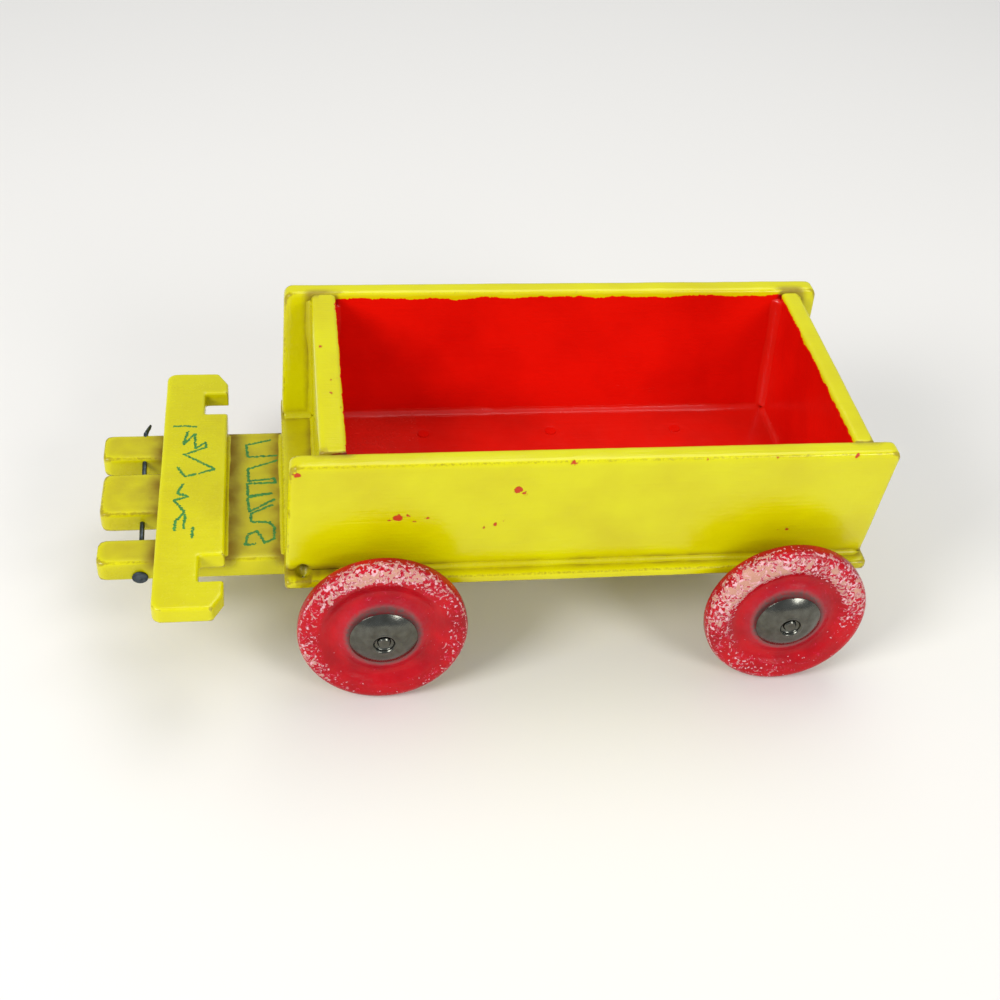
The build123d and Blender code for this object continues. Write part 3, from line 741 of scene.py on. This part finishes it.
WHEELS = {  # seed, lean, then the worn ring's inner and outer share, least, swing, heaviest angle
    "front_left_wheel": (3, 5.0, 0.76, 1.0, 0.31, 0.18, 105),
    "rear_left_wheel": (7, 4.0, 0.66, 0.99, 0.35, 0.22, 115),
    "front_right_wheel": (5, 2.5, 0.72, 1.0, 0.28, 0.22, 60),
    "rear_right_wheel": (9, 3.0, 0.68, 1.0, 0.30, 0.24, 200),
}
for node, (seed, lean, ring_low, ring_high, least, swing, heaviest) in WHEELS.items():
    low, high = node_box[node]
    side = -1 if low[1] < 0 else 1
    boss, face = sorted((abs(low[1]), abs(high[1])))
    centre = ((low[0] + high[0]) / 2, (low[2] + high[2]) / 2)
    clear_boss = boss + 0.5 + 9.0 * math.sin(math.radians(lean))  # room for the lean to turn round
    mesh = turned(node + "_turned", wheel_section(face, clear_boss), centre, side,
                  170, 180, 0.005, seed, wheel_enamel)
    points = mesh_points(mesh)
    across_x, across_z = points[:, 0] - centre[0], points[:, 2] - centre[1]
    share = np.hypot(across_x, across_z) / RIM
    bearing = np.arctan2(across_z, across_x)
    outside = smooth_step(np.abs(points[:, 1]), face - 7.0, face - 3.0)  # none on the inner face
    amount = (least + swing * np.cos(bearing - math.radians(heaviest))
              + 0.1 * np.sin(3 * bearing + seed))
    ring = smooth_step(share, ring_low - 0.05, ring_low + 0.07)
    ring *= 1 - 0.3 * smooth_step(share, ring_high - 0.08, ring_high)
    rim_line = np.exp(-((share - 0.975) / 0.014) ** 2) * outside * 0.5
    store(mesh, "worn", np.maximum(np.clip(amount, 0.1, 1) * ring * outside, rim_line))
    store(mesh, "corner_mm", nearby_surface(mesh, [node.replace("wheel", "axle_cap")], 6.0))
    # the wheel sits loose on its axle, so its foot leans outwards
    hub = Vector((centre[0], side * (face - THICK / 2), centre[1])) * MM
    mesh.transform(Matrix.Translation(hub - Vector((0, side * 0.4 * MM, 0)))
                   @ Matrix.Rotation(math.radians(side * lean), 4, "X") @ Matrix.Translation(-hub))
    as_piece(node + "_painted", mesh, wheel_enamel, node, (node,))

# %% [markdown]
# ## Paint pooled in the corners
# Thick enamel runs into an inside corner and dries there as a small hollow
# fillet, which hides the joint and catches a line of light.  It follows a
# straight run between two surfaces, so a second tree sweeps a hollow section
# along a run.  The section is given along two directions, one on each surface.
# It swells and thins along the run, and both ends close to a point.

# %% A bead of paint in Geometry Nodes
beader, BEAD_INPUTS, given = new_tree("paint_bead", {
    "Section": ("Geometry", None), "Start": ("Vector", None), "End": ("Vector", None),
    "First Way": ("Vector", None), "Second Way": ("Vector", None), "Steps": ("Int", 100),
    "Seed": ("Float", 1.0), "Finish": ("Material", None)})
section = add(beader, "GeometryNodeMeshToCurve", {"Mesh": given["Section"]})
grid = add(beader, "GeometryNodeMeshGrid",
           {"Size X": 1.0, "Size Y": 1.0, "Vertices X": given["Steps"], "Vertices Y": 45})
spot = add(beader, "ShaderNodeSeparateXYZ", {0: add(beader, "GeometryNodeInputPosition")})
around = add(beader, "ShaderNodeMath", {0: spot.outputs["Y"], 1: 0.5}, operation="ADD")
along = add(beader, "ShaderNodeMath", {0: spot.outputs["X"], 1: 0.5}, operation="ADD")
sample = add(beader, "GeometryNodeSampleCurve", mode="FACTOR", use_all_curves=True)
beader.links.new(section.outputs[0], sample.inputs["Curves"])
beader.links.new(around.outputs[0], sample.inputs["Factor"])
cut = add(beader, "ShaderNodeSeparateXYZ", {0: sample.outputs["Position"]})
run = add(beader, "ShaderNodeMix",
          {0: along, 1: given["Start"], 2: given["End"]}, data_type="VECTOR")
swell = add(beader, "ShaderNodeTexNoise",
            {"Vector": run, "W": given["Seed"], "Scale": 60.0, "Detail": 2.0},
            noise_dimensions="4D")
thick = add(beader, "ShaderNodeMapRange",
            {"Value": swell, "From Min": 0.3, "From Max": 0.7, "To Min": 0.7, "To Max": 1.2})
from_middle = add(beader, "ShaderNodeMath", {0: spot.outputs["X"]}, operation="ABSOLUTE")
taper = add(beader, "ShaderNodeMapRange",
            {"Value": from_middle, "From Min": 0.5, "From Max": 0.485},
            interpolation_type="SMOOTHSTEP")
thick = add(beader, "ShaderNodeMath", {0: thick, 1: taper}, operation="MULTIPLY")
first = add(beader, "ShaderNodeMath", {0: cut.outputs["X"], 1: thick}, operation="MULTIPLY")
second = add(beader, "ShaderNodeMath", {0: cut.outputs["Y"], 1: thick}, operation="MULTIPLY")
first = add(beader, "ShaderNodeVectorMath",
            {0: given["First Way"], "Scale": first}, operation="SCALE")
second = add(beader, "ShaderNodeVectorMath",
             {0: given["Second Way"], "Scale": second}, operation="SCALE")
swept = add(beader, "ShaderNodeVectorMath", {0: run, 1: first}, operation="ADD")
swept = add(beader, "ShaderNodeVectorMath", {0: swept, 1: second}, operation="ADD")
bent = add(beader, "GeometryNodeSetPosition", {"Geometry": grid, "Position": swept})
closed = add(beader, "GeometryNodeMergeByDistance", {"Geometry": bent, "Distance": 1e-6})
end_tree(beader, closed, given["Finish"])


def hollow_section(size):
    """A hollow quarter round, sunk a little so that both its edges lie in the wood."""
    sink, back = 0.05 + 0.03 * size, -0.4
    quarter = [(size * (1 - math.sin(a)) - sink, size * (1 - math.cos(a)) - sink)
               for a in np.linspace(0, math.pi / 2, 13)]
    return quarter + [(back, size - sink), (back, back), (size - sink, back)]


def join_meshes(name, meshes):
    shape = bmesh.new()
    for mesh in meshes:
        shape.from_mesh(mesh)
    joined = bpy.data.meshes.new(name)
    shape.to_mesh(joined)
    shape.free()
    joined.shade_smooth()
    return joined


# %% [markdown]
# ## Where the beads run
# Each run is two ends, two ways and a size in millimetres.  The load space has
# beads round its floor and up its corners, and the outside has them along the
# ledge, round the ends of the box and beside the crossbar.

# %% Runs of pooled paint
def wall_point(x, side, z):
    """A point on the inner face of a side board."""
    return (x, side * (wall_foot + (z - floor_top) * flare), z)


head_front, head_rear = head_low[0], head_high[0]
tail_front, tail_rear = tail_low[0], tail_high[0]
plank_top, plank_side = bar_low[2], 39.0
box_front, box_rear = side_low[0], side_high[0]
ledge_y = 51.5
inside_runs, outside_runs = [], []
for side in (-1, 1):
    inwards, up_wall = (0, -side, 0), (0, side * math.sin(lean_out), math.cos(lean_out))
    foot = {x: wall_point(x, side, floor_top)
            for x in (box_front + 0.8, head_front, head_rear, tail_front, tail_rear)}
    inside_runs += [
        (foot[head_rear], foot[tail_front], inwards, up_wall, 2.8),
        (foot[head_rear], wall_point(head_rear, side, 99), (1, 0, 0), inwards, 2.0),
        (foot[tail_front], wall_point(tail_front, side, 100), (-1, 0, 0), inwards, 4.5)]
    outside_runs += [
        ((-57.0, side * ledge_y, floor_top), (box_rear - 1.8, side * ledge_y, floor_top),
         (0, side, 0), up_wall, 1.7),
        (foot[head_front], wall_point(head_front, side, 101), (-1, 0, 0), inwards, 2.2),
        (foot[box_front + 0.8], foot[head_front], inwards, up_wall, 2.0),
        (foot[tail_rear], wall_point(tail_rear, side, 101), (1, 0, 0), inwards, 1.6)]
for runs, x, way, half, z, size in (
        (inside_runs, head_rear, 1, wall_foot, floor_top, 2.0),
        (inside_runs, tail_front, -1, wall_foot, floor_top, 2.4),
        (outside_runs, head_front, -1, wall_foot, floor_top, 1.8),
        (outside_runs, tail_rear, 1, wall_foot, floor_top, 1.6),
        (outside_runs, bar_high[0], 1, plank_side - 1.5, plank_top, 1.1),
        (outside_runs, floor_low[0], -1, plank_side - 1.5, plank_top, 1.4)):
    runs.append(((x, -half, z), (x, half, z), (way, 0, 0), (0, 0, 1), size))
print("beads inside:", len(inside_runs), "outside:", len(outside_runs))


def bead_piece(name, runs, red_mm, dust_and_sheen, corner):
    meshes = []
    for number, (start, end, first_way, second_way, size) in enumerate(runs):
        length = float(np.linalg.norm(np.subtract(end, start)))
        section = section_mesh(f"{name}_{number}", hollow_section(size))
        mesh = run_tree(beader, BEAD_INPUTS, section, {
            "Start": [float(v) * MM for v in start], "End": [float(v) * MM for v in end],
            "First Way": [float(v) for v in first_way],
            "Second Way": [float(v) for v in second_way],
            "Steps": max(int(length), 24), "Seed": number * 3.7, "Finish": board_enamel},
            f"{name}_{number}")
        if outward(mesh):
            print("open bead", name, number)
        meshes.append(mesh)
    joined = join_meshes(name, meshes)
    z = mesh_points(joined)[:, 2]
    red = np.full(len(z), red_mm)
    if red_mm > 0:
        red = np.minimum(red, side_high[2] - red_stops - z)
    store(joined, "red_mm", red)
    for field, value in (("chip_mm", -FAR), ("corner_mm", corner), ("dust_and_sheen", dust_and_sheen), ("edge", 0.0)):
        store(joined, field, np.full(len(z), value))
    as_piece(name, joined, board_enamel, "root")


# the inside beads' pale dust tone is a painted highlight along the seams
bead_piece("paint_beads_inside", inside_runs, 5.0, 0.25, FAR)
bead_piece("paint_beads_outside", outside_runs, -5.0, 0.3, 4.0)

# %% [markdown]
# ## Crayon scribbles
# A child has scribbled on the crossbar and the plank with green wax crayon.
# Crayon leaves crumbs of wax on the high spots of the paint, not a solid line.
# The third tree walks along a scribble, drops out part of its points, moves the
# rest a little to the side and onto the board below, and sets a flat crumb there.

# %% Crayon in Geometry Nodes
crayon, CRAYON_INPUTS, given = new_tree("crayon_line", {
    "Scribble": ("Geometry", None), "Board": ("Object", None), "Spacing": ("Float", 0.00018),
    "Breadth": ("Float", 0.00038), "Left Out": ("Float", 0.25), "Seed": ("Int", 1),
    "Finish": ("Material", None)})
line = add(crayon, "GeometryNodeMeshToCurve", {"Mesh": given["Scribble"]})
walked = add(crayon, "GeometryNodeResampleCurve", {"Curve": line, "Length": given["Spacing"]},
             mode="LENGTH")
crumbs = add(crayon, "GeometryNodeCurveToPoints", {"Curve": walked}, mode="EVALUATED")
aside = add(crayon, "FunctionNodeRandomValue",
            {"Min": (-1, -1, 0), "Max": (1, 1, 0), "Seed": given["Seed"]},
            data_type="FLOAT_VECTOR")
aside = add(crayon, "ShaderNodeVectorMath", {0: aside, "Scale": given["Breadth"]},
            operation="SCALE")
moved = add(crayon, "GeometryNodeSetPosition", {"Geometry": crumbs, "Offset": aside})
patches = add(crayon, "ShaderNodeTexNoise",
              {"Vector": add(crayon, "GeometryNodeInputPosition"), "Scale": 420.0, "Detail": 2.0})
chance = add(crayon, "FunctionNodeRandomValue", {"Seed": given["Seed"]}, data_type="FLOAT")
chance = add(crayon, "ShaderNodeMath", {0: chance, 1: 0.3, 2: patches}, operation="MULTIPLY_ADD")
limit = add(crayon, "ShaderNodeMath", {0: given["Left Out"], 1: 0.4}, operation="ADD")
gone = add(crayon, "ShaderNodeMath", {0: chance, 1: limit}, operation="LESS_THAN")
kept = add(crayon, "GeometryNodeDeleteGeometry", {"Geometry": moved, "Selection": gone},
           domain="POINT")
board = add(crayon, "GeometryNodeObjectInfo", {"Object": given["Board"]},
            transform_space="ORIGINAL")
ray = add(crayon, "GeometryNodeRaycast",
          {"Target Geometry": board.outputs["Geometry"],
           "Ray Direction": (0, 0, -1), "Ray Length": 0.02}, data_type="FLOAT")
laid = add(crayon, "GeometryNodeSetPosition",
           {"Geometry": kept, "Selection": ray.outputs["Is Hit"],
            "Position": ray.outputs["Hit Position"]})
crumb = add(crayon, "GeometryNodeMeshIcoSphere", {"Radius": 0.00052, "Subdivisions": 1})
crumb = add(crayon, "GeometryNodeTransform", {"Geometry": crumb, "Scale": (1.0, 1.0, 0.09)})
size = add(crayon, "FunctionNodeRandomValue",
           {"Min": (0.5, 0.5, 0.7), "Max": (1.25, 1.25, 1.2), "Seed": given["Seed"]},
           data_type="FLOAT_VECTOR")
spread = add(crayon, "GeometryNodeInstanceOnPoints",
             {"Points": laid, "Instance": crumb, "Scale": size})
end_tree(crayon, spread, given["Finish"])

# %% Green wax
wax, tree, shader = new_material("green_wax_crayon")
uneven = add(tree, "ShaderNodeTexNoise",
             {"Vector": in_millimetres(tree), "Scale": 0.5, "Detail": 3.0})
uneven = add(tree, "ShaderNodeMapRange", {"Value": uneven, "From Min": 0.3, "From Max": 0.7})
green = add(tree, "ShaderNodeMix",
            {0: uneven, 1: srgb("#1E6A2A"), 2: srgb("#3F8A34")}, data_type="RGBA")
tree.links.new(green.outputs[2], shader.inputs["Base Color"])
shader.inputs["Roughness"].default_value = 0.6
print(wax.name, "with", len(tree.nodes), "nodes")

# %% Scribbles
SCRIBBLES = {  # board, share left out, then strokes of x, y in millimetres
    "crossbar": (0.07, [
        [(-119.2, 34.6), (-114.7, 35.0), (-110.1, 34.3)],
        [(-113.5, 30.9), (-115.0, 22.7), (-110.5, 29.5), (-110.2, 19.9), (-106.4, 23.6),
         (-105.8, 20.6), (-114.3, 16.2), (-102.2, 6.4), (-113.5, 2.3), (-116.8, 8.3)],
        [(-114.3, -2.5), (-116.2, -7.7), (-112.1, -9.9), (-117.5, -12.0), (-113.0, -18.9),
         (-116.3, -24.1), (-116.5, -29.5)],
        [(-112.7, -20.5), (-113.1, -28.5)], [(-109.7, -27.9), (-109.8, -33.6)]]),
    "chassis_plank": (0.02, [
        [(-80.9, 33.0), (-90.5, 30.2), (-89.9, 22.3), (-78.1, 23.1)],
        [(-78.4, 19.6), (-89.6, 14.6), (-89.4, 6.9), (-79.3, 8.2), (-78.8, 5.6), (-89.9, 5.3),
         (-89.6, -2.1), (-80.2, -0.9), (-89.8, -3.3), (-89.0, -11.8), (-79.4, -4.7)],
        [(-80.0, -7.9), (-88.5, -13.0), (-88.2, -17.8), (-81.4, -18.2), (-79.3, -21.4),
         (-79.7, -27.9), (-83.0, -30.1), (-86.2, -23.0), (-89.5, -25.1), (-90.7, -31.1),
         (-87.0, -30.6)]]),
}
for board_name, (left_out, strokes) in SCRIBBLES.items():
    height = (node_box[board_name][1][2] + 3.0) * MM
    points, links = [], []
    for stroke in strokes:
        links += [(len(points) + i, len(points) + i + 1) for i in range(len(stroke) - 1)]
        points += [(x * MM, y * MM, height) for x, y in stroke]
    path = bpy.data.meshes.new(board_name + "_scribble_path")
    path.from_pydata(points, links, [])
    name = board_name + "_crayon"
    mesh = run_tree(crayon, CRAYON_INPUTS, path, {
        "Board": bpy.data.objects[board_name + "_painted"], "Left Out": left_out,
        "Seed": 4, "Finish": wax}, name)
    heights = mesh_points(mesh)[:, 2]
    print(name, "lies from", round(heights.min(), 2), "to", round(heights.max(), 2), "mm")
    as_piece(name, mesh, wax, "root")

# %% [markdown]
# ## The axle caps
# Each cap is a disc of thin steel pressed to a dome, with a dimple that grips
# the axle's end.  It is spun by the same tree from a thin section with rolled
# edges, so that the light runs round the lip and the dimple.

# %% Press the caps
def cap_section(base, crown):
    """Half section of a cap: from its rim over the dome, into the dimple and back inside."""
    height = crown - base
    dome = [(12.7 - 7.0 * t, base + 0.5 + (height - 0.8) * (1 - (1 - t) ** 1.9))
            for t in np.linspace(0.0, 1.0, 15)]
    lip = [(5.1, crown - 0.22), (4.75, crown - 0.04), (4.45, crown), (4.15, crown - 0.1)]
    dimple = [(3.85, crown - 0.5), (3.6, crown - 1.1), (3.1, crown - 1.45), (2.45, crown - 1.55)]
    under = [(2.45, crown - 2.3), (3.6, crown - 2.0), (4.6, crown - 0.9)]
    inside = [(max(r - 0.7, 5.2), max(y - 0.75, base)) for r, y in reversed(dome[:-1])]
    return dome + lip + dimple + under + inside


for node in [n for n in node_box if n.endswith("_axle_cap")]:
    low, high = node_box[node]
    side = -1 if low[1] < 0 else 1
    base, crown = sorted((abs(low[1]), abs(high[1])))
    centre = ((low[0] + high[0]) / 2, (low[2] + high[2]) / 2)
    mesh = turned(node + "_pressed", cap_section(base, crown), centre, side,
                  130, 120, 0.0, 2, cap_steel)
    axle = "front_axle" if node.startswith("front") else "rear_axle"
    as_piece(node + "_steel", mesh, cap_steel, axle, (node,))

# %% [markdown]
# ## The hinge nail
# One long nail goes through the three fingers, as the pivot of two draft shafts
# that are gone.  It was hammered in askew: its head sits low, and its point is
# bent over on the far side.  The CAD nail is straight and level, so this one is
# worked from its shape as the boards are, its head and its bent end are drawn in
# towards the shank, and then the whole nail is tilted.

# %% Drive the hinge nail
mesh = worked_board("hinge_nail", 0.28, 20, wave=0.02, smoothing=1)
points = mesh_points(mesh)
shank = np.array([bar_low[0] - 6.0, 0.0, (plank_top + node_box["chassis_plank"][0][2]) / 2])
head_end = node_box["hinge_nail"][0][1] + 1.15
in_head = points[:, 1] < head_end
points[in_head] = shank + (points[in_head] - shank) * (0.86, 1.0, 0.86)
bent_over = points[:, 1] > plank_side + 1.2
points[bent_over] = shank + (points[bent_over] - shank) * (0.7, 1.0, 0.5)
# it went in askew: the head sits low and the bent point came out high
tilt = Matrix.Rotation(math.radians(1.2), 3, "Z") @ Matrix.Rotation(math.radians(4.8), 3, "X")
hold = np.array([shank[0], points[:, 1].min(), shank[2]])
points = (points - hold) @ np.array(tilt).T + hold + (-0.2, 0.35, -2.8)
mesh.vertices.foreach_set("co", (points * MM).ravel())
as_piece("hinge_nail_steel", mesh, wire_steel, "root", ("hinge_nail",))
